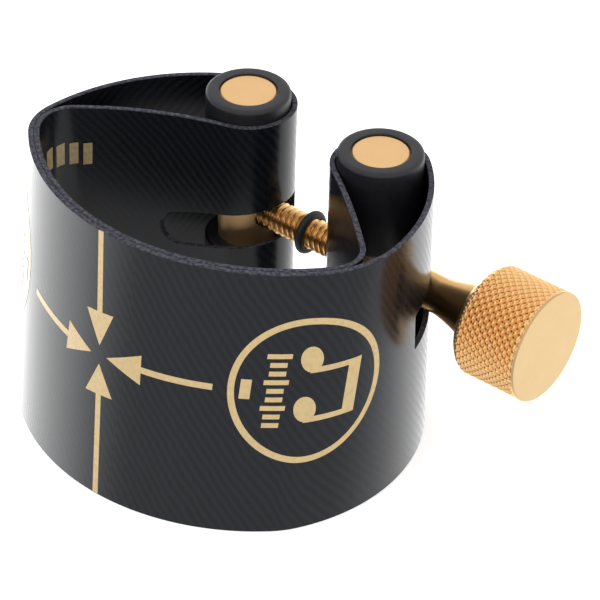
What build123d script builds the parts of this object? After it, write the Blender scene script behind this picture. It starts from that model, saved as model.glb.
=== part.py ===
"""Saxophone ligature: a flared fibre band clamped round a mouthpiece by one thumbscrew.

A stiff glossy strip forms the ring. At each end it wraps round an upright post and comes back
on the inside as a flap, so each post sits in a long teardrop pocket. The screw crosses both
posts: it turns freely in the right post and threads into the left one.

Frame: +Z up along the mouthpiece, +X along the screw towards its knob, +Y from the band's
front (spine) towards the posts. The origin is on the bottom edge's plane, in the ring's middle.
"""
import os
from math import acos, asin, atan2, cos, degrees, hypot, radians, sin, tan

from build123d import *

# ---------------------------------------------------------------- driving dimensions, mm
band_height = 18.6        # strip width, the ring's height
ply = 0.35                # one layer of the strip; the wall is two layers
glue = 0.06               # bond line between the two layers
spine_gap = 0.5           # slit between the two halves of the band at the spine

post_half_spacing = 5.65  # posts at x = -5.65 and +5.65
post_y = 7.7
post_top = 19.6           # sleeves stand 1 mm proud of the band's upper edge
core_radius = 2.0
core_recess = 0.1         # core ends lie just inside the sleeve ends
core_chamfer = 0.15
sleeve_radius = 2.9
sleeve_chamfer = 0.3
loop_radius = 3.0         # inner radius of the strip's turn round a sleeve

screw_z = 10.45
thread_radius = 1.1       # M2.2 x 0.45
left_hole_radius = 1.15   # core bore of the threaded post, at the thread's major diameter
right_hole_radius = 1.2
window_height = 4.8       # bare core between upper and lower sleeve
slot_height = 2.8         # slots that the screw passes through
slot_end = (-8.1, 9.25)   # X and Z of the middle of the slot's round end in the left flap
slot_rise = 12            # degrees that the slot climbs from there to the screw
slot_box = (4.0, 6.0)     # size in X and Y of the cut that opens the left turn for the screw
slot_back = 1.8           # how far behind the screw's axis that cut reaches
slot_front = 0.5          # the flap's slot is cut back to this Y
gap_hole_radius = 1.4     # hole for the thread in the right turn
wall_slot = (3.3, 9.4)    # Y where the slot for the shank starts and ends in the right wall

tip_x = -7.65             # screw tip, flush with the far side of the left core
tip_chamfer = 0.3
shoulder_x = 7.7          # the shank's shoulder bears on the right core
shank_radius = 1.3
neck_start_x = 11.2
neck_radius = 2.3
knob_start_x = 14.6
knob_length = 5.2
knob_radius = 3.9
knob_chamfer = 0.35
stub_radius = 1.5         # screw end held inside the knob
stub_length = 4.0
ring_middle_radius = 1.27 # rubber retaining ring on the thread, between the posts
ring_section_radius = 0.3
ring_x = 0.0

# Plan of the wall's outer face at each edge: arcs that run tangent into one another. The front
# arc crosses the spine. Each side then has a bearing where its side arc takes over, that arc's
# radius, and the radius of the arc that runs back to the post. The flap leaves the wall at
# turn_bearing with a tight turn, and a long arc takes it to the post.
bottom_front = dict(middle=(-1.1, 3.1), radius=16.3)
top_front = dict(middle=(-2.0, 7.0), radius=17.0)
bottom_right = dict(bearing=44, side=6.4, back=13.3, turn_bearing=-34, turn=2.6, flap=60)
bottom_left = dict(bearing=68, side=10.0, back=13.0, turn_bearing=-16, turn=2.8, flap=30)
top_right = dict(bearing=47, side=7.5, back=13.5, turn_bearing=-30, turn=2.2, flap=60)
top_left = dict(bearing=47, side=4.1, back=14.7, turn_bearing=-14, turn=2.4, flap=25)


# ---------------------------------------------------------------- plan geometry
def step(start, distance, bearing):
    """The point at a distance from start, along a bearing in degrees from +X."""
    return (start[0] + distance * cos(radians(bearing)), start[1] + distance * sin(radians(bearing)))


def bearing_of(start, end):
    return degrees(atan2(end[1] - start[1], end[0] - start[0]))


def circle_crossing(c1, r1, c2, r2, side):
    """Where two circles cross, to the left (side=1) or right (-1) of the way from c1 to c2."""
    gap = hypot(c2[0] - c1[0], c2[1] - c1[1])
    corner = degrees(acos((r1 * r1 + gap * gap - r2 * r2) / (2 * r1 * gap)))
    return step(c1, r1, bearing_of(c1, c2) + side * corner)


def wall_circles(front, shape):
    """Arc middles for one side of the band, drawn as if it were the right-hand side."""
    post = (post_half_spacing, post_y)
    side_c = step(front["middle"], front["radius"] - shape["side"], shape["bearing"] - 90)
    back_reach = shape["back"] - shape["side"]
    back_c = circle_crossing(side_c, back_reach, post, shape["back"] - loop_radius - ply, 1)
    turn_c = step(side_c, shape["side"] - ply - glue - shape["turn"], shape["turn_bearing"])
    flap_reach = shape["flap"] - shape["turn"]
    flap_c = circle_crossing(turn_c, flap_reach, post, shape["flap"] + loop_radius, 1)
    return post, side_c, back_c, turn_c, flap_c


def spine_bearing(front, radius):
    """Bearing from the front arc's middle to where the layer meets the slit at the spine."""
    return degrees(asin((spine_gap / 2 - front["middle"][0]) / radius)) - 90


def outer_ply_arcs(front, shape):
    """(middle, outer radius, inner radius, start, end) of each arc, from the spine to the loop."""
    post, side_c, back_c, turn_c, flap_c = wall_circles(front, shape)
    side_start = shape["bearing"] - 90
    back_start = bearing_of(back_c, side_c)
    loop_start = bearing_of(back_c, post)
    loop_end = bearing_of(post, flap_c) % 360
    return [
        (front["middle"], front["radius"], front["radius"] - ply, None, side_start),
        (side_c, shape["side"], shape["side"] - ply, side_start, back_start),
        (back_c, shape["back"], shape["back"] - ply, back_start, loop_start),
        (post, loop_radius + ply, loop_radius, loop_start, loop_end),
    ]


def flap_arcs(front, shape):
    """The same for the inner layer, from the spine to where it meets the loop."""
    post, side_c, back_c, turn_c, flap_c = wall_circles(front, shape)
    side_start = shape["bearing"] - 90
    flap_start = bearing_of(flap_c, turn_c)
    flap_end = bearing_of(flap_c, post)
    front_wall = front["radius"] - ply - glue
    side_wall = shape["side"] - ply - glue
    return [
        (front["middle"], front_wall, front_wall - ply, None, side_start),
        (side_c, side_wall, side_wall - ply, side_start, shape["turn_bearing"]),
        (turn_c, shape["turn"], shape["turn"] - ply, shape["turn_bearing"], flap_start),
        (flap_c, shape["flap"], shape["flap"] - ply, flap_start, flap_end),
    ]


def cut_at(arcs, bearings):
    """Cut the arcs at each bearing, which leaves the outline as it was."""
    pieces = []
    for middle, outer, inner, start, end in arcs:
        cuts = [b for b in bearings if b < end and (start is None or b > start)]
        for first, last in zip([start] + cuts, cuts + [end]):
            pieces.append((middle, outer, inner, first, last))
    return pieces


def arc_points(piece, front, mirrored):
    """Three points on the outer face of an arc and three on its inner face."""
    middle, *radii, start, end = piece
    faces = []
    for radius in radii:
        first = spine_bearing(front, radius) if start is None else start
        points = [step(middle, radius, a) for a in (first, (first + end) / 2, end)]
        faces.append([(-x, y) if mirrored else (x, y) for x, y in points])
    return faces


def make_ply(arc_maker, bottom_shape, top_shape, mirrored):
    """One layer, lofted piece by piece between its outlines at the two edges.

    A flat strip that is only bent has the same tangent all along each straight line from edge to
    edge. So both outlines are cut at the same bearings, up to their last arcs, and each arc is
    joined to its partner.
    """
    outlines = []
    for front, shape in ((bottom_front, bottom_shape), (top_front, top_shape)):
        x, y = front["middle"]
        seen_front = dict(middle=(-x if mirrored else x, y), radius=front["radius"])
        outlines.append((seen_front, arc_maker(seen_front, shape)))
    last_start = min(arcs[-1][3] for _, arcs in outlines)
    bearings = sorted({arc[3] for _, arcs in outlines for arc in arcs[1:] if arc[3] < last_start})
    edges = []
    for front, arcs in outlines:
        edges.append([arc_points(piece, front, mirrored) for piece in cut_at(arcs, bearings)])
    with BuildPart() as body:
        for partners in zip(*edges):
            for height, (outer, inner) in zip((0, band_height), partners):
                with BuildSketch(Plane.XY.offset(height)):
                    with BuildLine():
                        ThreePointArc(*outer)
                        ThreePointArc(*inner)
                        Line(outer[0], inner[0])
                        Line(outer[2], inner[2])
                    make_face()
            loft(ruled=True)
    return body


os.makedirs("parts", exist_ok=True)


def save(body, label):
    body.part.label = label
    export_step(body.part, f"parts/{label}.step")


# ---------------------------------------------------------------- band
def slot_middle_z(x):
    """Height of the left slot's centre line at an X."""
    return slot_end[1] + (x - slot_end[0]) * tan(radians(slot_rise))


def make_band_half(name, mirrored, bottom_shape, top_shape):
    """Outer layer of one half, with its turn round the post and the openings for the screw."""
    post_x = -post_half_spacing if mirrored else post_half_spacing
    ply_body = make_ply(outer_ply_arcs, bottom_shape, top_shape, mirrored)
    with BuildPart() as half:
        add(ply_body.part)
        if mirrored:
            # slot through the gap side and the front of the turn
            slot_x = post_x + slot_box[0] / 2
            with BuildSketch(Plane.XZ.offset(-post_y - slot_back)):
                with Locations((slot_x, slot_middle_z(slot_x))):
                    Rectangle(slot_box[0], slot_height, rotation=slot_rise)
            extrude(amount=slot_box[1], mode=Mode.SUBTRACT)
        else:
            # a hole towards the gap for the thread, and a slot in the wall for the shank
            with BuildSketch(Plane.YZ.offset(post_x)):
                with Locations((post_y, screw_z)):
                    Circle(gap_hole_radius)
            extrude(amount=-post_half_spacing, mode=Mode.SUBTRACT)
            slot_length = wall_slot[1] - wall_slot[0]
            slot_centre = (wall_slot[0] + wall_slot[1]) / 2
            with BuildSketch(Plane.YZ.offset(post_x)):
                with Locations((slot_centre, screw_z)):
                    Rectangle(slot_length, slot_height)
            extrude(amount=knob_start_x - post_x, mode=Mode.SUBTRACT)
    save(half, name)


def make_flap(name, mirrored, bottom_shape, top_shape):
    """Inner layer of one half. On the threaded post's side the turn's slot runs on into it."""
    post_x = -post_half_spacing if mirrored else post_half_spacing
    ply_body = make_ply(flap_arcs, bottom_shape, top_shape, mirrored)
    with BuildPart() as flap:
        add(ply_body.part)
        if mirrored:
            slot_run = post_x - slot_end[0]
            slot_climb = slot_middle_z(post_x) - slot_end[1]
            with BuildSketch(Plane.XZ.offset(-post_y)):
                with Locations((post_x, slot_middle_z(post_x))):
                    SlotCenterPoint((0, 0), (-slot_run, -slot_climb), slot_height)
            extrude(amount=post_y - slot_front, mode=Mode.SUBTRACT)
    save(flap, name)


make_band_half("band_right", False, bottom_right, top_right)
make_band_half("band_left", True, bottom_left, top_left)
make_flap("flap_right", False, bottom_right, top_right)
make_flap("flap_left", True, bottom_left, top_left)


# ---------------------------------------------------------------- posts
def make_core(name, post_x, hole_radius):
    with BuildPart() as core:
        with BuildSketch(Plane.XY.offset(core_recess)):
            with Locations((post_x, post_y)):
                Circle(core_radius)
        extrude(amount=post_top - 2 * core_recess)
        chamfer(core.edges().filter_by(GeomType.CIRCLE), core_chamfer)
        with BuildSketch(Plane.YZ.offset(post_x)):
            with Locations((post_y, screw_z)):
                Circle(hole_radius)
        extrude(amount=core_radius, both=True, mode=Mode.SUBTRACT)
    save(core, name)


def make_sleeve(name, post_x, low, high):
    with BuildPart() as sleeve:
        with BuildSketch(Plane.XY.offset(low)):
            with Locations((post_x, post_y)):
                Circle(sleeve_radius)
                Circle(core_radius, mode=Mode.SUBTRACT)
        extrude(amount=high - low)
        outer = sleeve.edges().filter_by(GeomType.CIRCLE).group_by(SortBy.RADIUS)[-1]
        chamfer(outer, sleeve_chamfer)
    save(sleeve, name)


for side, post_x, hole_radius in (
    ("right", post_half_spacing, right_hole_radius),
    ("left", -post_half_spacing, left_hole_radius),
):
    make_core(f"post_core_{side}", post_x, hole_radius)
    make_sleeve(f"sleeve_{side}_lower", post_x, 0, screw_z - window_height / 2)
    make_sleeve(f"sleeve_{side}_upper", post_x, screw_z + window_height / 2, post_top)


# ---------------------------------------------------------------- screw
screw_axis = Plane.XY.offset(screw_z)
with BuildPart() as clamp_screw:
    with BuildSketch(screw_axis):
        with BuildLine():
            Polyline(
                (tip_x, post_y),
                (tip_x, post_y + thread_radius - tip_chamfer),
                (tip_x + tip_chamfer, post_y + thread_radius),
                (shoulder_x, post_y + thread_radius),
                (shoulder_x, post_y + shank_radius),
                (neck_start_x, post_y + shank_radius),
                (knob_start_x, post_y + neck_radius),
                (knob_start_x, post_y + stub_radius),
                (knob_start_x + stub_length, post_y + stub_radius),
                (knob_start_x + stub_length, post_y),
                close=True,
            )
        make_face()
    revolve(axis=Axis((0, post_y, screw_z), (1, 0, 0)))
save(clamp_screw, "clamp_screw")

with BuildPart() as knob:
    with BuildSketch(Plane.YZ.offset(knob_start_x)):
        with Locations((post_y, screw_z)):
            Circle(knob_radius)
    extrude(amount=knob_length)
    chamfer(knob.edges().filter_by(GeomType.CIRCLE), knob_chamfer)
    with BuildSketch(Plane.YZ.offset(knob_start_x)):
        with Locations((post_y, screw_z)):
            Circle(stub_radius)
    extrude(amount=stub_length, mode=Mode.SUBTRACT)
save(knob, "knob")

with BuildPart() as retaining_ring:
    with BuildSketch(screw_axis):
        with Locations((ring_x, post_y + ring_middle_radius)):
            Circle(ring_section_radius)
    revolve(axis=Axis((0, post_y, screw_z), (1, 0, 0)))
save(retaining_ring, "retaining_ring")
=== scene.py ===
"""Looks of a saxophone ligature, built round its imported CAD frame.

The band is one continuous strip here: it goes round the ring, turns round each post and comes back
as the inner layer. Lengths are in millimetres until a mesh is made, and meshes are in metres.
"""

from math import acos, asin, atan2, ceil, cos, degrees, hypot, pi, radians, sin, tan

import bmesh
import bpy
import numpy as np
from mathutils import Matrix, Vector


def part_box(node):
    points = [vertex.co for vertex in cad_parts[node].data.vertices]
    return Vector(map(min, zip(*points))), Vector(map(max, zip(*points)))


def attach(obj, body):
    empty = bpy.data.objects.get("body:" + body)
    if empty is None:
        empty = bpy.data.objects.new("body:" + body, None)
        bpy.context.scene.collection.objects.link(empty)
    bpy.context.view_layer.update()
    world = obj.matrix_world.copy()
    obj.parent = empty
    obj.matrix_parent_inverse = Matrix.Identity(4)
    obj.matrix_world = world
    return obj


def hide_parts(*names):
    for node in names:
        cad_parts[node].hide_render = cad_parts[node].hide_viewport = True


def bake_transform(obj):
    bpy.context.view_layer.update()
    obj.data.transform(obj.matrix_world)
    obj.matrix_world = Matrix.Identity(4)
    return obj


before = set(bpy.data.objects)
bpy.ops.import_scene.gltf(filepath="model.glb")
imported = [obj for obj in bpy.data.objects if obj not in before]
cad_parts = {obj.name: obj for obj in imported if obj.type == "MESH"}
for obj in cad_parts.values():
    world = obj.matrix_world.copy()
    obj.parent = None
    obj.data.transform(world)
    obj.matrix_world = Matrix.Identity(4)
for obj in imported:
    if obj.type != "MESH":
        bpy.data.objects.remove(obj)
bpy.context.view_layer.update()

MM = 0.001


def box_mm(node):
    """Lowest and highest corner of a CAD node, in mm."""
    return tuple(np.array(corner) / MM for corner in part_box(node))


# ---------------------------------------------------------------- sizes taken from the frame
core_low, core_high = box_mm("post_core_right")
sleeve_low, sleeve_high = box_mm("sleeve_right_upper")
knob_low, knob_high = box_mm("knob")
ring_low, ring_high = box_mm("retaining_ring")

band_height = box_mm("band_right")[1][2]
post_x = (core_low[0] + core_high[0]) / 2
post_y = (core_low[1] + core_high[1]) / 2
core_radius = (core_high[0] - core_low[0]) / 2
sleeve_radius = (sleeve_high[0] - sleeve_low[0]) / 2
post_top = sleeve_high[2]
window_top = sleeve_low[2]
window_low = box_mm("sleeve_right_lower")[1][2]
screw_z = (knob_low[2] + knob_high[2]) / 2
screw_tip = box_mm("clamp_screw")[0][0]

# ---------------------------------------------------------------- band, mm
ply = 0.35                # one layer in the CAD model
glue = 0.06
strip = 0.375             # one layer here, so that the two layers meet
loop_radius = 3.0
rim_chamfer = 0.05
badge_offset = 14.5       # from where the arrows meet to the middle of each ring
column_spacing = 0.3
face_rows = 6

bottom_front = dict(middle=(-1.1, 3.1), radius=16.3)
top_front = dict(middle=(-2.0, 7.0), radius=17.0)
bottom_right = dict(bearing=44, side=6.4, back=13.3, turn_bearing=-34, turn=2.6, flap=60)
bottom_left = dict(bearing=68, side=10.0, back=13.0, turn_bearing=-16, turn=2.8, flap=30)
top_right = dict(bearing=47, side=7.5, back=13.5, turn_bearing=-30, turn=2.2, flap=60)
top_left = dict(bearing=47, side=4.1, back=14.7, turn_bearing=-14, turn=2.4, flap=25)

slot_height = 2.8
slot_end = (-8.1, 9.25)   # X and Z of the middle of the round end of the left flap's slot
slot_rise = 12            # degrees
slot_box = (4.0, 6.0)     # size in X and Y of the cut that opens the left turn for the screw
slot_back = 1.8           # how far behind the screw's axis that cut reaches
slot_front = 0.5          # the flap's slot is cut back to this Y
gap_hole_radius = 1.4
wall_slot = (3.3, 9.4)    # Y where the slot for the shank starts and ends in the right wall
wall_cut_start = 6.2      # X where that cut starts, clear of the flap
wall_slot_rounding = 0.25

# ---------------------------------------------------------------- screw and knob, mm
thread_radius = 1.1
thread_pitch = 0.45
thread_depth = 0.22
shoulder_x = 7.7
shank_radius = 1.3
neck_start_x = 11.2
neck_radius = 2.3
tip_chamfer = 0.3
shoulder_chamfer = 0.06
neck_overlap = 0.3        # the neck runs this far into the knob
knurl_teeth = 40
knurl_depth = 0.2


# ================================================================ camera and stage
def place_camera():
    """A long lens from the front right, looking down."""
    azimuth, elevation, roll = radians(38.16), radians(36.5), radians(1.6)
    distance = 200.0
    target = Vector((3.41, 2.42, 9.3))
    right = Vector((cos(azimuth), sin(azimuth), 0))
    back = Vector((sin(azimuth) * cos(elevation), -cos(azimuth) * cos(elevation), sin(elevation)))
    up = back.cross(right)
    x_axis = cos(roll) * right + sin(roll) * up
    y_axis = cos(roll) * up - sin(roll) * right
    data = bpy.data.cameras.new("camera")
    data.sensor_width = 36.0
    data.lens = 179.8
    data.clip_start = 0.01
    camera = bpy.data.objects.new("camera", data)
    turn = Matrix((x_axis, y_axis, back)).transposed().to_4x4()
    camera.matrix_world = Matrix.Translation((target + distance * back) * MM) @ turn
    bpy.context.scene.collection.objects.link(camera)
    bpy.context.scene.camera = camera


def area_light(name, where, aim, size, power):
    """A soft rectangular light that reflections don't show."""
    data = bpy.data.lights.new(name, "AREA")
    data.shape = "RECTANGLE"
    data.size, data.size_y = size[0] * MM, size[1] * MM
    data.energy = power
    light = bpy.data.objects.new(name, data)
    direction = Vector(aim) - Vector(where)
    light.rotation_euler = direction.to_track_quat("-Z", "Y").to_euler()
    light.location = Vector(where) * MM
    light.visible_glossy = False
    bpy.context.scene.collection.objects.link(light)
    return light


def build_world():
    """White above; below, seen only in reflections, grey in front and brighter behind."""
    world = bpy.data.worlds.new("studio")
    world.use_nodes = True
    tree = world.node_tree
    direction = tree.nodes.new("ShaderNodeTexCoord").outputs["Generated"]
    below = None
    for bearing, start, end, low, high in ((133, -0.45, 0.4, 0.85, 1.9), (180, 0.4, 0.75, 0.0, 1.6)):
        along = tree.nodes.new("ShaderNodeVectorMath")
        along.operation = "DOT_PRODUCT"
        tree.links.new(direction, along.inputs[0])
        along.inputs[1].default_value = (cos(radians(bearing)), sin(radians(bearing)), 0)
        lobe = add_node(tree, "ShaderNodeMapRange", Value=along.outputs["Value"],
                        From_Min=start, From_Max=end, To_Min=low, To_Max=high).outputs["Result"]
        if below is None:
            below = lobe
        else:
            total = tree.nodes.new("ShaderNodeMath")
            tree.links.new(below, total.inputs[0])
            tree.links.new(lobe, total.inputs[1])
            below = total.outputs["Value"]
    height = add_node(tree, "ShaderNodeSeparateXYZ", Vector=direction).outputs["Z"]
    is_above = tree.nodes.new("ShaderNodeMath")
    is_above.operation = "GREATER_THAN"
    tree.links.new(height, is_above.inputs[0])
    is_above.inputs[1].default_value = 0.0
    strength = tree.nodes.new("ShaderNodeMix")
    tree.links.new(is_above.outputs["Value"], strength.inputs["Factor"])
    tree.links.new(below, strength.inputs["A"])
    strength.inputs["B"].default_value = 1.0
    background = tree.nodes["Background"]
    background.inputs["Color"].default_value = (1, 1, 1, 1)
    tree.links.new(strength.outputs["Result"], background.inputs["Strength"])
    bpy.context.scene.world = world


def build_stage():
    scene = bpy.context.scene
    scene.view_settings.view_transform = "Standard"
    build_world()
    mesh = bpy.data.meshes.new("floor")
    reach = 3000 * MM
    corners = [(-reach, -reach, 0), (reach, -reach, 0), (reach, reach, 0), (-reach, reach, 0)]
    mesh.from_pydata(corners, [], [(0, 1, 2, 3)])
    floor = bpy.data.objects.new("floor", mesh)
    scene.collection.objects.link(floor)
    mesh.materials.append(floor_material())
    floor.visible_glossy = False
    area_light("soft_left", (-120, 70, 80), (-20, 20, 0), (80, 80), 0.1)


# ================================================================ materials
def new_material(name):
    material = bpy.data.materials.new(name)
    material.use_nodes = True
    tree = material.node_tree
    return material, tree, tree.nodes["Principled BSDF"]


def add_node(tree, kind, **inputs):
    """A shader node with its inputs set to values or joined to other nodes' outputs."""
    node = tree.nodes.new(kind)
    for name, value in inputs.items():
        socket = node.inputs[name.replace("_", " ")]
        if isinstance(value, bpy.types.NodeSocket):
            tree.links.new(value, socket)
        else:
            socket.default_value = value
    return node


def colour_ramp(tree, factor, low, high, start=0.3, end=0.7):
    ramp = tree.nodes.new("ShaderNodeValToRGB")
    ramp.color_ramp.elements[0].position = start
    ramp.color_ramp.elements[0].color = (*low, 1)
    ramp.color_ramp.elements[1].position = end
    ramp.color_ramp.elements[1].color = (*high, 1)
    tree.links.new(factor, ramp.inputs["Fac"])
    return ramp.outputs["Color"]


def value_range(tree, factor, low, high):
    node = add_node(tree, "ShaderNodeMapRange", Value=factor, To_Min=low, To_Max=high)
    return node.outputs["Result"]


def object_noise(tree, scale, detail=3.0):
    """Noise that sticks to the object, with scale in features per metre."""
    coordinates = tree.nodes.new("ShaderNodeTexCoord")
    noise = add_node(tree, "ShaderNodeTexNoise", Vector=coordinates.outputs["Object"],
                     Scale=scale, Detail=detail)
    return noise.outputs["Fac"]


def join_bump(tree, shader, height, strength, distance):
    bump = add_node(tree, "ShaderNodeBump", Height=height, Strength=strength, Distance=distance)
    tree.links.new(bump.outputs["Normal"], shader.inputs["Normal"])


def floor_material():
    material, tree, shader = new_material("floor")
    shader.inputs["Base Color"].default_value = (0.93, 0.93, 0.93, 1)
    shader.inputs["Roughness"].default_value = 0.9
    shader.inputs["Specular IOR Level"].default_value = 0.1
    shader.inputs["Emission Color"].default_value = (1, 1, 1, 1)
    shader.inputs["Emission Strength"].default_value = 0.5
    return material


def fibre_material():
    """Glossy black laminate: faint diagonal threads under a smooth lacquer."""
    material, tree, shader = new_material("fibre")
    uv = tree.nodes.new("ShaderNodeUVMap")
    uv.uv_map = "strip"
    mapping = add_node(tree, "ShaderNodeMapping", Vector=uv.outputs["UV"], Rotation=(0, 0, radians(-38)))
    weave = add_node(tree, "ShaderNodeTexWave", Vector=mapping.outputs["Vector"],
                     Scale=0.6, Distortion=3.5, Detail=3.0, Detail_Scale=0.5)
    colour = colour_ramp(tree, weave.outputs["Fac"], (0.004, 0.005, 0.008), (0.0075, 0.009, 0.013))
    tree.links.new(colour, shader.inputs["Base Color"])
    tree.links.new(value_range(tree, weave.outputs["Fac"], 0.19, 0.26), shader.inputs["Roughness"])
    join_bump(tree, shader, weave.outputs["Fac"], 0.05, 0.02 * MM)
    shader.inputs["Specular IOR Level"].default_value = 0.36
    return material


def cut_edge_material():
    """The strip's cut edge: grey fibre ends, fuzzy and matt."""
    material, tree, shader = new_material("cut_edge")
    fine = object_noise(tree, 4200, 2)
    colour = colour_ramp(tree, fine, (0.014, 0.014, 0.021), (0.1, 0.098, 0.125), 0.38, 0.75)
    tree.links.new(colour, shader.inputs["Base Color"])
    shader.inputs["Roughness"].default_value = 0.85
    join_bump(tree, shader, fine, 0.8, 0.05 * MM)
    return material


def gold_material(name, roughness, tint, bump=0.06):
    """Gold plate with faint rubbing marks."""
    material, tree, shader = new_material(name)
    patches = object_noise(tree, 700, 4)
    darker = tuple(0.96 * c for c in tint)
    tree.links.new(colour_ramp(tree, patches, darker, tint), shader.inputs["Base Color"])
    fine = object_noise(tree, 6000, 2)
    tree.links.new(value_range(tree, fine, *roughness), shader.inputs["Roughness"])
    shader.inputs["Metallic"].default_value = 1.0
    join_bump(tree, shader, fine, bump, 0.01 * MM)
    return material


def knurl_material():
    """Gold plate with painted shade that darkens it towards the bottom of each cut."""
    material, tree, shader = new_material("gold_knurl_pit_shade")
    depth = tree.nodes.new("ShaderNodeAttribute")
    depth.attribute_name = "height"
    # Painted shade: the low colour is the dark brown painted into the knurl's pits, and the high one is the
    # gold of the crests.
    colour = colour_ramp(tree, depth.outputs["Fac"], (0.2, 0.1, 0.032), (0.95, 0.6, 0.27), 0.0, 0.7)
    tree.links.new(colour, shader.inputs["Base Color"])
    fine = object_noise(tree, 5000, 2)
    tree.links.new(value_range(tree, fine, 0.3, 0.45), shader.inputs["Roughness"])
    shader.inputs["Metallic"].default_value = 1.0
    return material


def sleeve_material():
    material, tree, shader = new_material("sleeve")
    mottle = object_noise(tree, 900, 3)
    tree.links.new(colour_ramp(tree, mottle, (0.006, 0.006, 0.009), (0.012, 0.012, 0.016)),
                   shader.inputs["Base Color"])
    fine = object_noise(tree, 5000, 2)
    tree.links.new(value_range(tree, fine, 0.38, 0.52), shader.inputs["Roughness"])
    join_bump(tree, shader, fine, 0.1, 0.02 * MM)
    return material


def rubber_material():
    material, tree, shader = new_material("ring_rubber")
    fine = object_noise(tree, 4000, 3)
    tree.links.new(colour_ramp(tree, fine, (0.012, 0.013, 0.014), (0.024, 0.025, 0.027)),
                   shader.inputs["Base Color"])
    tree.links.new(value_range(tree, fine, 0.5, 0.7), shader.inputs["Roughness"])
    join_bump(tree, shader, fine, 0.2, 0.02 * MM)
    return material


def ink_material():
    """Flat gold ink with slightly uneven cover."""
    material, tree, shader = new_material("print")
    cover = object_noise(tree, 2600, 3)
    tree.links.new(colour_ramp(tree, cover, (0.53, 0.385, 0.18), (0.6, 0.44, 0.21)),
                   shader.inputs["Base Color"])
    tree.links.new(value_range(tree, cover, 0.22, 0.34), shader.inputs["Roughness"])
    return material


# ================================================================ mesh helpers
def make_object(name, vertices, faces, materials, material_index=None, smooth_angle=35):
    """A mesh piece from vertices in mm, smooth except across sharp edges."""
    mesh = bpy.data.meshes.new(name)
    mesh.from_pydata([tuple(c * MM for c in v) for v in vertices], [], faces)
    for material in materials:
        mesh.materials.append(material)
    if material_index is not None:
        mesh.polygons.foreach_set("material_index", material_index)
    mesh.polygons.foreach_set("use_smooth", [True] * len(mesh.polygons))
    mesh.set_sharp_from_angle(angle=radians(smooth_angle))
    mesh.update()
    piece = bpy.data.objects.new(name, mesh)
    bpy.context.scene.collection.objects.link(piece)
    return piece


def grid_faces(rows, columns, close_rows=False, close_columns=False):
    """Quads over a grid of vertices numbered row by row."""
    faces = []
    for i in range(rows if close_rows else rows - 1):
        for j in range(columns if close_columns else columns - 1):
            a, b = i * columns + j, i * columns + (j + 1) % columns
            c, d = ((i + 1) % rows) * columns + (j + 1) % columns, ((i + 1) % rows) * columns + j
            faces.append((a, b, c, d))
    return faces


def lathe(name, profile, axis, centre, materials, segments=96):
    """Turns a closed profile of (along, radius) about an axis ("X" or "Z") through centre."""
    vertices = []
    for along, radius in profile:
        for k in range(segments):
            a = 2 * pi * k / segments
            u, v = radius * cos(a), radius * sin(a)
            offset = (along, u, v) if axis == "X" else (u, v, along)
            vertices.append(tuple(c + o for c, o in zip(centre, offset)))
    faces = grid_faces(len(profile), segments, close_rows=True, close_columns=True)
    if axis == "Z":
        faces = [face[::-1] for face in faces]
    return make_object(name, vertices, faces, materials)


def rounded_corner(corner, before, after, radius, steps=5):
    """Points on the arc that rounds a right-angled corner between two neighbours."""
    corner, before, after = (np.array(p, float) for p in (corner, before, after))
    to_before = (before - corner) / np.linalg.norm(before - corner)
    to_after = (after - corner) / np.linalg.norm(after - corner)
    middle = corner + radius * (to_before + to_after)
    points = []
    for k in range(steps + 1):
        a = pi / 2 * k / steps
        points.append(tuple(middle - radius * (cos(a) * to_after + sin(a) * to_before)))
    return points


def rounded_rectangle(low, high, inner, outer, radii):
    """Closed lathe profile of a tube from low to high.

    The radii round its corners in the order low outer, high outer, high inner, low inner.
    """
    corners = [(low, outer), (high, outer), (high, inner), (low, inner)]
    points = []
    for k, (corner, radius) in enumerate(zip(corners, radii)):
        points += rounded_corner(corner, corners[k - 1], corners[(k + 1) % 4], radius)
    return points


# ================================================================ band
def step(start, distance, bearing):
    """The point at a distance from start, along a bearing in degrees from +X."""
    return (start[0] + distance * cos(radians(bearing)), start[1] + distance * sin(radians(bearing)))


def bearing_of(start, end):
    return degrees(atan2(end[1] - start[1], end[0] - start[0]))


def circle_crossing(c1, r1, c2, r2):
    """Where two circles cross, to the left of the way from c1 to c2."""
    gap = hypot(c2[0] - c1[0], c2[1] - c1[1])
    corner = degrees(acos((r1 * r1 + gap * gap - r2 * r2) / (2 * r1 * gap)))
    return step(c1, r1, bearing_of(c1, c2) + corner)


def half_arcs(front, shape):
    """Arcs (middle, finished radius, start, end) of the outer layer and of the inner one.

    They are drawn as the right-hand side. The finished face is the one that shows: the outer
    layer's outer face, and the inner layer's face towards the mouthpiece.
    """
    post = (post_x, post_y)
    side_c = step(front["middle"], front["radius"] - shape["side"], shape["bearing"] - 90)
    back_c = circle_crossing(side_c, shape["back"] - shape["side"], post, shape["back"] - loop_radius - ply)
    turn_c = step(side_c, shape["side"] - ply - glue - shape["turn"], shape["turn_bearing"])
    flap_c = circle_crossing(turn_c, shape["flap"] - shape["turn"], post, shape["flap"] + loop_radius)
    side_start = shape["bearing"] - 90
    back_start = bearing_of(back_c, side_c)
    loop_start = bearing_of(back_c, post)
    loop_end = bearing_of(post, flap_c) % 360
    flap_start = bearing_of(flap_c, turn_c)
    flap_end = bearing_of(flap_c, post)
    wall = 2 * ply + glue
    outer = [
        (front["middle"], front["radius"], None, side_start),
        (side_c, shape["side"], side_start, back_start),
        (back_c, shape["back"], back_start, loop_start),
        (post, loop_radius + ply, loop_start, loop_end),
    ]
    inner = [
        (front["middle"], front["radius"] - wall, None, side_start),
        (side_c, shape["side"] - wall, side_start, shape["turn_bearing"]),
        (turn_c, shape["turn"] - ply, shape["turn_bearing"], flap_start),
        (flap_c, shape["flap"] - ply, flap_start, flap_end),
    ]
    return outer, inner


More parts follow.
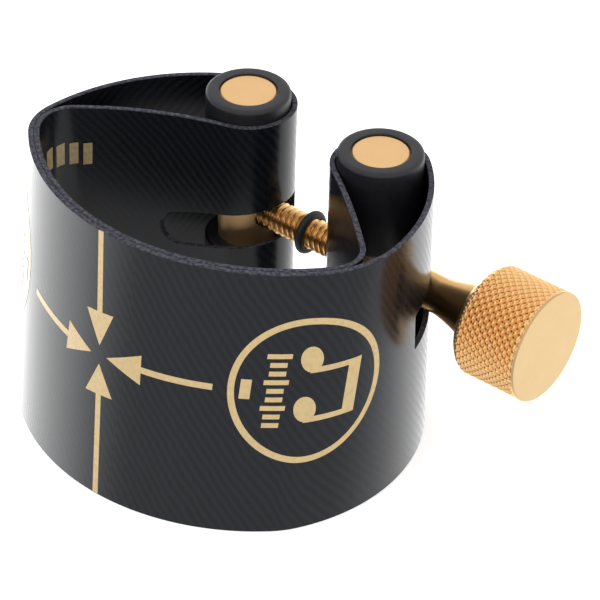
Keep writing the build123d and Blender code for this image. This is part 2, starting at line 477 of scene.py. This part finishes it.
def cut_at(arcs, bearings):
    """Cut the arcs at each bearing. An arc with no start begins at the spine, x = 0."""
    pieces = []
    for middle, radius, start, end in arcs:
        first = degrees(asin(-middle[0] / radius)) - 90 if start is None else start
        cuts = [b for b in bearings if first < b < end]
        for a, b in zip([first] + cuts, cuts + [end]):
            pieces.append((middle, radius, a, b))
    return pieces


def layer_columns(mirrored, layer):
    """Columns of one layer from the spine to the loop: (bottom, bottom normal, top, top normal)."""
    outlines = []
    shapes = (bottom_left, top_left) if mirrored else (bottom_right, top_right)
    for front, shape in zip((bottom_front, top_front), shapes):
        x, y = front["middle"]
        seen = dict(middle=(-x if mirrored else x, y), radius=front["radius"])
        outlines.append(half_arcs(seen, shape)[layer])
    last_start = min(arcs[-1][2] for arcs in outlines)
    bearings = sorted({arc[2] for arcs in outlines for arc in arcs[1:] if arc[2] < last_start})
    sign = -1 if mirrored else 1
    face = 1 if layer == 0 else -1
    columns = []
    for partners in zip(*(cut_at(arcs, bearings) for arcs in outlines)):
        length = max(radius * radians(abs(end - start)) for _, radius, start, end in partners)
        count = max(2, ceil(length / column_spacing))
        for k in range(count + 1):
            if k == 0 and columns:
                continue
            column = []
            for middle, radius, start, end in partners:
                bearing = start + (end - start) * k / count
                x, y = step(middle, radius, bearing)
                nx, ny = face * cos(radians(bearing)), face * sin(radians(bearing))
                column += [(sign * x, y), (sign * nx, ny)]
            columns.append(column)
    return columns


def ring_columns():
    """All columns of the strip, as one closed path with its finished face on the right."""
    right_outer, right_inner = layer_columns(False, 0), layer_columns(False, 1)
    left_outer, left_inner = layer_columns(True, 0), layer_columns(True, 1)
    path = right_outer + right_inner[-2::-1] + left_inner[1:] + left_outer[-2:0:-1]
    wall = left_outer[:0:-1] + right_outer
    inside = left_inner[:0:-1] + right_inner
    return path, wall, inside


def column_point(column, height, depth):
    """The point of a column at a height, at a depth below the finished face."""
    share = height / band_height
    (bx, by), (bnx, bny), (tx, ty), (tnx, tny) = column
    nx, ny = bnx + (tnx - bnx) * share, bny + (tny - bny) * share
    size = hypot(nx, ny)
    x = bx + (tx - bx) * share - depth * nx / size
    y = by + (ty - by) * share - depth * ny / size
    return (x, y, height)


def band_profile():
    """Closed section of the strip as (depth, height), and which of its sides are cut edges."""
    c = rim_chamfer
    heights = [c + (band_height - 2 * c) * k / face_rows for k in range(face_rows + 1)]
    face = [(0, h) for h in heights]
    top = [(c, band_height), (strip - c, band_height)]
    hidden = [(strip, h) for h in reversed(heights)]
    bottom = [(strip - c, 0), (c, 0)]
    points = face + top + hidden + bottom
    is_edge = [False] * (face_rows) + [True] * 3 + [False] * face_rows + [True] * 3
    return points, is_edge


def cutter(name, vertices, faces, material):
    """A closed solid to subtract. Its material is the one that the cut leaves."""
    tool = make_object(name, vertices, faces, [material])
    face_outwards(tool.data)
    return tool


def rod_cutter(name, start_x, end_x, radius, material, segments=64):
    """A solid rod along X on the screw's axis."""
    vertices = []
    for x in (start_x, end_x):
        for k in range(segments):
            a = 2 * pi * k / segments
            vertices.append((x, post_y + radius * cos(a), screw_z + radius * sin(a)))
    faces = grid_faces(2, segments, close_columns=True)
    faces += [tuple(reversed(range(segments))), tuple(range(segments, 2 * segments))]
    return cutter(name, vertices, faces, material)


def prism_cutter(name, outline, low, high, along, material):
    """A prism along X or Y, with its outline in the plane of the other two axes."""
    count = len(outline)
    vertices = []
    for h in (low, high):
        vertices += [(h, u, v) if along == "X" else (u, h, v) for u, v in outline]
    faces = grid_faces(2, count, close_columns=True)
    faces += [tuple(reversed(range(count))), tuple(range(count, 2 * count))]
    return cutter(name, vertices, faces, material)


def rounded_outline(low, high, radius, steps=6):
    """A rectangle with rounded corners, anticlockwise."""
    points = []
    left, right = low[0] + radius, high[0] - radius
    bottom, top = low[1] + radius, high[1] - radius
    for quarter, middle in enumerate(((right, top), (left, top), (left, bottom), (right, bottom))):
        for k in range(steps + 1):
            points.append(step(middle, radius, 90 * quarter + 90 * k / steps))
    return points


def tilted_slot(start, end, radius, steps=12):
    """Outline of a slot with round ends, from one end's middle to the other's."""
    way = bearing_of(start, end)
    points = [step(end, radius, way - 90 + 180 * k / steps) for k in range(steps + 1)]
    return points + [step(start, radius, way + 90 + 180 * k / steps) for k in range(steps + 1)]


def slot_middle_z(x):
    """Height of the left slot's centre line at an X."""
    return slot_end[1] + (x - slot_end[0]) * tan(radians(slot_rise))


def subtract(piece, cutters):
    """Cut the tools out of a piece and delete them."""
    for tool in cutters:
        modifier = piece.modifiers.new(tool.name, "BOOLEAN")
        modifier.object = tool
        modifier.operation = "DIFFERENCE"
        modifier.solver = "EXACT"
        modifier.material_mode = "TRANSFER"
    graph = bpy.context.evaluated_depsgraph_get()
    mesh = bpy.data.meshes.new_from_object(piece.evaluated_get(graph))
    piece.modifiers.clear()
    piece.data = mesh
    for tool in cutters:
        bpy.data.objects.remove(tool)


def build_band(path, fibre, cut_edge):
    """The whole strip, with distance along it and height as its UV, and the openings for the screw."""
    profile, is_edge = band_profile()
    vertices = [column_point(column, height, depth) for column in path for depth, height in profile]
    faces = grid_faces(len(path), len(profile), close_rows=True, close_columns=True)
    faces = [face[::-1] for face in faces]
    index = [1 if is_edge[k % len(profile)] else 0 for k in range(len(faces))]
    band = make_object("band", vertices, faces, [fibre, cut_edge], index)
    lengths = [0.0]
    for a, b in zip(path, path[1:] + path[:1]):
        pa, pb = column_point(a, band_height / 2, 0), column_point(b, band_height / 2, 0)
        lengths.append(lengths[-1] + hypot(pb[0] - pa[0], pb[1] - pa[1]))
    layer = band.data.uv_layers.new(name="strip")
    for number, polygon in enumerate(band.data.polygons):
        row = number // len(profile)
        for loop in polygon.loop_indices:
            vertex = band.data.loops[loop].vertex_index
            column = row if vertex // len(profile) == row else row + 1
            layer.data[loop].uv = (lengths[column], profile[vertex % len(profile)][1])
    half = slot_height / 2
    near, far = -post_x, slot_box[0] - post_x
    flap_slot = tilted_slot(slot_end, (near, slot_middle_z(near)), half)
    corners = ((near, -half), (far, -half), (far, half), (near, half))
    turn_slot = [(x, slot_middle_z(x) + rise) for x, rise in corners]
    turn_slot_end = post_y + slot_back
    wall_corners = ((wall_slot[0], screw_z - half), (wall_slot[1], screw_z + half))
    wall_outline = rounded_outline(*wall_corners, wall_slot_rounding)
    subtract(band, [
        prism_cutter("turn_slot", turn_slot, turn_slot_end - slot_box[1], turn_slot_end, "Y", cut_edge),
        prism_cutter("flap_slot", flap_slot, slot_front, post_y, "Y", cut_edge),
        rod_cutter("gap_hole", 0.0, post_x, gap_hole_radius, cut_edge),
        prism_cutter("wall_slot", wall_outline, wall_cut_start, knob_low[0], "X", cut_edge),
    ])
    band.data.set_sharp_from_angle(angle=radians(35))
    return band


# ================================================================ printed marks
class Wall:
    """Maps (distance along the strip from the spine, height) to a point on a finished face."""

    def __init__(self, columns):
        self.bottom = np.array([c[0] for c in columns])
        self.bottom_normal = np.array([c[1] for c in columns])
        self.top = np.array([c[2] for c in columns])
        self.top_normal = np.array([c[3] for c in columns])
        self.spine = int(np.argmin(np.abs(self.bottom[:, 0]) + np.where(self.bottom[:, 1] > 0, 100, 0)))

    def point(self, along, height, lift):
        share = height / band_height
        line = self.bottom + (self.top - self.bottom) * share
        normal = self.bottom_normal + (self.top_normal - self.bottom_normal) * share
        length = np.concatenate([[0], np.cumsum(np.linalg.norm(np.diff(line, axis=0), axis=1))])
        length -= length[self.spine]
        x, y = np.interp(along, length, line[:, 0]), np.interp(along, length, line[:, 1])
        nx, ny = np.interp(along, length, normal[:, 0]), np.interp(along, length, normal[:, 1])
        size = hypot(nx, ny)
        return (x + lift * nx / size, y + lift * ny / size, height)


def ribbon(left, right, across=4):
    """A grid of (along, height) points between two lines with the same number of points."""
    return [[tuple(np.array(a) + (np.array(b) - np.array(a)) * k / across) for k in range(across + 1)]
            for a, b in zip(left, right)]


def line_points(start, end, count):
    start, end = np.array(start, float), np.array(end, float)
    return [start + (end - start) * k / count for k in range(count + 1)]


def bar(start, end, width, end_width=None, spacing=0.35, across=3):
    """A straight ribbon, or a taper where end_width differs."""
    start, end = np.array(start, float), np.array(end, float)
    direction = (end - start) / np.linalg.norm(end - start)
    side = np.array((-direction[1], direction[0]))
    end_width = width if end_width is None else end_width
    count = max(2, ceil(np.linalg.norm(end - start) / spacing))
    left = line_points(start + side * width / 2, end + side * end_width / 2, count)
    right = line_points(start - side * width / 2, end - side * end_width / 2, count)
    return ribbon(left, right, across)


def ring(centre, radii, tilt, width, count=120):
    """A closed oval line; its first radius lies at the tilt."""
    turn = np.array(((cos(tilt), -sin(tilt)), (sin(tilt), cos(tilt))))
    edges = []
    for inset in (0, width):
        points = [((radii[0] - inset) * cos(2 * pi * k / count), (radii[1] - inset) * sin(2 * pi * k / count))
                  for k in range(count + 1)]
        edges.append([np.array(centre) + turn @ np.array(p) for p in points])
    return ribbon(*edges, 2)


def oval(centre, radii, tilt, count=18, across=6):
    """A filled ellipse, as a ribbon between its upper and lower halves."""
    turn = np.array(((cos(tilt), -sin(tilt)), (sin(tilt), cos(tilt))))
    upper, lower = [], []
    for k in range(count + 1):
        a = pi * (1 - 0.998 * k / count - 0.001)
        upper.append(np.array(centre) + turn @ np.array((radii[0] * cos(a), radii[1] * sin(a))))
        lower.append(np.array(centre) + turn @ np.array((radii[0] * cos(a), -radii[1] * sin(a))))
    return ribbon(upper, lower, across)


def print_marks(name, wall, grids, material, lift=0.016, sink=0.012):
    """Thin ink solids that follow the wall, one for each grid of (along, height) points."""
    vertices, faces = [], []
    for grid in grids:
        rows, columns = len(grid), len(grid[0])
        first = len(vertices)
        for level in (lift, -sink):
            vertices += [wall.point(p[0], p[1], level) for row in grid for p in row]
        upper = grid_faces(rows, columns)
        lower = [tuple(v + rows * columns for v in face[::-1]) for face in upper]
        border = list(range(columns))
        border += [i * columns + columns - 1 for i in range(1, rows)]
        border += [(rows - 1) * columns + j for j in range(columns - 2, -1, -1)]
        border += [i * columns for i in range(rows - 2, 0, -1)]
        sides = []
        for a, b in zip(border, border[1:] + border[:1]):
            sides.append((b, a, a + rows * columns, b + rows * columns))
        faces += [tuple(first + v for v in face) for face in upper + lower + sides]
    piece = make_object(name, vertices, faces, [material])
    face_outwards(piece.data)
    return piece


def face_outwards(mesh):
    """Turns all faces of closed shells outwards."""
    work = bmesh.new()
    work.from_mesh(mesh)
    bmesh.ops.remove_doubles(work, verts=work.verts, dist=1e-7)
    bmesh.ops.recalc_face_normals(work, faces=work.faces)
    work.to_mesh(mesh)
    work.free()


def build_prints(wall, inside, ink):
    """Four plain arrows that meet at the spine, a plain ring with a pair of notes, and inside bars."""
    line, point = 0.44, 0.03
    upright_head, level_head = 2.3, 2.1
    edge_gap = 0.02
    meet = (-2.05, 10.05)
    arrows = []
    for tail, line_end, head_start, tip, head in (
        ((-3.02, band_height - edge_gap), (-2.37, 13.0), (-2.37, 13.05), (-2.1, 10.75), upright_head),
        ((-1.07, edge_gap), (-1.75, 7.3), (-1.75, 7.25), (-1.97, 9.4), upright_head),
        ((-9.7, 10.55), (-5.1, 10.05), (-5.1, 10.03), (-2.78, 9.96), level_head),
        ((6.25, 10.4), (1.28, 10.3), (1.3, 10.28), (-1.37, 10.1), level_head),
    ):
        arrows += [bar(tail, line_end, line), bar(head_start, tip, head, point)]
    badges = []
    for side in (1, -1):
        centre = (meet[0] + side * badge_offset, meet[1] + 0.25)
        badges += badge(centre, side, line)
    bars = [bar((-18.3 - 0.95 * k, 13.8), (-17.95 - 0.95 * k, 15.6), 0.6) for k in range(4)]
    return [print_marks("print_arrows", wall, arrows, ink), print_marks("print_badges", wall, badges, ink),
            print_marks("print_bars", inside, bars, ink)]


def badge(centre, side, line):
    """An oval line round a plain pair of joined notes, a row of ticks and a dot, read down the strip."""
    def place(across, down):
        return (centre[0] + side * across, centre[1] - down)
    marks = [ring(centre, (5.5, 5.0), side * radians(135), line)]
    for down in (-2.3, 1.3):
        marks.append(oval(place(-0.1, down), (0.95, 0.72), side * radians(-70)))
        marks.append(bar(place(-0.1, down + 0.78), place(3.3, down + 0.78), 0.4))
    marks.append(bar(place(3.0, -2.3 + 0.58), place(3.0, 1.3 + 0.98), 0.9))
    for k in range(9):
        tick = 0.55 if k % 3 else 0.8
        marks.append(bar(place(-2.2 - tick, -2.6 + 0.62 * k), place(-2.2 + tick, -2.6 + 0.62 * k), 0.34))
    marks.append(bar(place(-4.1, -0.9), place(-4.1, 0.5), 0.7))
    return marks


# ================================================================ posts, screw, knob, ring
def build_sleeve(name, x, low, high, material):
    profile = rounded_rectangle(low, high, core_radius, sleeve_radius, (0.3, 0.3, 0.05, 0.05))
    return lathe(name, profile, "Z", (x, post_y, 0), [material])


def thread_height(turn):
    """Height of the thread's flank, 0 at the root and 1 at the crest, over one turn."""
    turn = turn % 1.0
    crest, root = 0.16, 0.2
    flank = (1 - crest - root) / 2
    if turn < crest:
        return 1.0
    if turn < crest + flank:
        return 1 - (turn - crest) / flank
    if turn < crest + flank + root:
        return 0.0
    return (turn - crest - flank - root) / flank


def build_screw(material):
    """Threaded rod with its shank and the cone that flares to the knob."""
    segments, rows_per_pitch, flare_steps = 64, 12, 14
    tip, end = screw_tip, knob_low[0]
    rows = [(tip, 0.0, False)]
    count = int((shoulder_x - tip) / thread_pitch * rows_per_pitch)
    for k in range(count + 1):
        rows.append((tip + (shoulder_x - tip) * k / count, thread_radius, True))
    rows.append((shoulder_x, shank_radius - shoulder_chamfer, False))
    rows.append((shoulder_x + shoulder_chamfer, shank_radius, False))
    for k in range(flare_steps + 1):
        share = k / flare_steps
        x = neck_start_x + (end - neck_start_x) * share
        rows.append((x, shank_radius + (neck_radius - shank_radius) * share ** 1.4, False))
    rows += [(end + neck_overlap, neck_radius, False), (end + neck_overlap, 0.0, False)]
    vertices = []
    for x, radius, threaded in rows:
        for k in range(segments):
            r = radius
            if threaded:
                cut = 1 - thread_height((x - tip) / thread_pitch - k / segments)
                r = min(radius - thread_depth * cut, thread_radius - tip_chamfer + max(0.0, x - tip))
            a = 2 * pi * k / segments
            vertices.append((x, post_y + r * cos(a), screw_z + r * sin(a)))
    faces = grid_faces(len(rows), segments, close_columns=True)
    screw = make_object("thumb_screw", vertices, faces, [material], smooth_angle=28)
    face_outwards(screw.data)
    screw.data.set_sharp_from_angle(angle=radians(28))
    return screw


def build_knob(grip, plain):
    """Thumb knob: diamond knurling between a chamfered back and a flat satin face."""
    radius = (knob_high[2] - knob_low[2]) / 2
    start, end = knob_low[0], knob_high[0]
    pitch = 2 * pi * radius / knurl_teeth
    bevel, rounding = 0.4, 0.07
    back_inset, back_edge_inset, back_edge_rise = 0.62, 0.55, 0.05
    rim_inset, rim_gap, rim_step = 0.02, 0.06, 0.05
    run_in_inset = 0.18
    knurl_start, knurl_end = start + bevel, end - rounding - rim_gap
    steps = 4 * round((knurl_end - knurl_start) / pitch)
    columns = 4 * knurl_teeth
    rows = []
    back = ((0, neck_radius - 0.1), (0, radius - back_inset), (back_edge_rise, radius - back_edge_inset))
    for along, r in back:
        rows.append((start + along, [r] * columns))
    first_knurl_row = len(rows)
    # Here heights holds the painted pit shade of each vertex, 1 where no shade is painted.
    heights = [[1.0] * columns for _ in rows]
    for i in range(steps + 1):
        x = knurl_start + (knurl_end - knurl_start) * i / steps
        fade = min(1.0, 0.25 + 0.75 * i / 3, 0.1 + 0.9 * (steps - i) / 2)
        ring_radii, ring_pit_shades = [], []
        for j in range(columns):
            u, v = (j + i) / 4.0 % 1.0, (j - i) / 4.0 % 1.0
            hu, hv = 1 - abs(2 * u - 1), 1 - abs(2 * v - 1)
            height = min(1.0, 1.5 * hu, 1.5 * hv)
            # Painted shade: 1 on the crests, falling towards the bottom of each cut.
            shade = 0.3 * height + 0.7 * (1 - (1 - hu) * (1 - hv))
            ring_radii.append(radius - knurl_depth * (1 - height) * fade - (1 - min(1, i / 2)) * run_in_inset)
            ring_pit_shades.append(1 - (1 - shade) * fade)
        rows.append((x, ring_radii))
        heights.append(ring_pit_shades)
    rim_radius = radius - rim_inset
    rows.append((knurl_end + rim_step, [rim_radius] * columns))
    for k in range(6):
        a = pi / 2 * k / 5
        rows.append((end - rounding + rounding * sin(a), [rim_radius - rounding * (1 - cos(a))] * columns))
    face_radius = rim_radius - rounding
    for share in (0.985, 0.6, 0.3, 0.0):
        rows.append((end, [face_radius * share] * columns))
    heights += [[1.0] * columns for _ in range(len(rows) - len(heights))]
    vertices = []
    for x, ring_radii in rows:
        for j, r in enumerate(ring_radii):
            a = 2 * pi * j / columns
            vertices.append((x, post_y + r * cos(a), screw_z + r * sin(a)))
    faces, index = [], []
    knurl_rows = range(first_knurl_row, first_knurl_row + steps)
    for i in range(len(rows) - 1):
        for j in range(columns):
            a, b = i * columns + j, i * columns + (j + 1) % columns
            c, d = a + columns, b + columns
            if i in knurl_rows:
                if (i - first_knurl_row + j) % 2:
                    faces += [(a, b, d), (a, d, c)]
                else:
                    faces += [(a, b, c), (b, d, c)]
                index += [0, 0]
            else:
                faces.append((a, b, d, c))
                index.append(0 if i < knurl_rows.stop else 1)
    knob = make_object("thumb_knob", vertices, faces, [grip, plain], index, smooth_angle=20)
    # The "height" attribute carries the painted pit shade, not a height.
    layer = knob.data.attributes.new("height", "FLOAT", "POINT")
    layer.data.foreach_set("value", [h for ring_pit_shades in heights for h in ring_pit_shades])
    face_outwards(knob.data)
    knob.data.set_sharp_from_angle(angle=radians(20))
    return knob


def build_retaining_ring(material):
    section = (ring_high[0] - ring_low[0]) / 2
    middle = (ring_high[2] - ring_low[2]) / 2 - section
    x = (ring_low[0] + ring_high[0]) / 2
    profile = [(section * cos(2 * pi * k / 24), middle + section * sin(2 * pi * k / 24)) for k in range(24)]
    return lathe("rubber_ring", profile, "X", (x, post_y, screw_z), [material], segments=72)


# ================================================================ assembly
place_camera()
build_stage()

fibre, cut_edge, sleeve_black = fibre_material(), cut_edge_material(), sleeve_material()
core_gold = gold_material("gold_satin", (0.5, 0.6), (0.88, 0.58, 0.29), bump=0.02)
knurl_gold = knurl_material()
thread_gold = gold_material("gold_thread", (0.26, 0.38), (0.78, 0.47, 0.19))
ink = ink_material()

path, wall_columns, inside_columns = ring_columns()
band = build_band(path, fibre, cut_edge)
prints = build_prints(Wall(wall_columns), Wall(inside_columns), ink)
for piece, slot in [(band, "fibre")] + [(p, "print") for p in prints]:
    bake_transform(piece)
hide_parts("band_right", "band_left", "flap_right", "flap_left")

for side, x in (("right", post_x), ("left", -post_x)):
    for level, low, high in (("upper", window_top, post_top), ("lower", 0.0, window_low)):
        sleeve = build_sleeve(f"{side}_{level}_sleeve", x, low, high, sleeve_black)
        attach(sleeve, f"{side}_post")
        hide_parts(f"sleeve_{side}_{level}")
    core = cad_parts[f"post_core_{side}"]
    core.material_slots[0].material = core_gold

screw = build_screw(thread_gold)
knob = build_knob(knurl_gold, gold_material("gold_face", (0.3, 0.4), (0.6, 0.42, 0.2)))
rubber_ring = build_retaining_ring(rubber_material())
for piece, node, slot in ((screw, "clamp_screw", "gold"), (knob, "knob", "gold"),
                          (rubber_ring, "retaining_ring", "ring_rubber")):
    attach(piece, "screw")
    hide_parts(node)
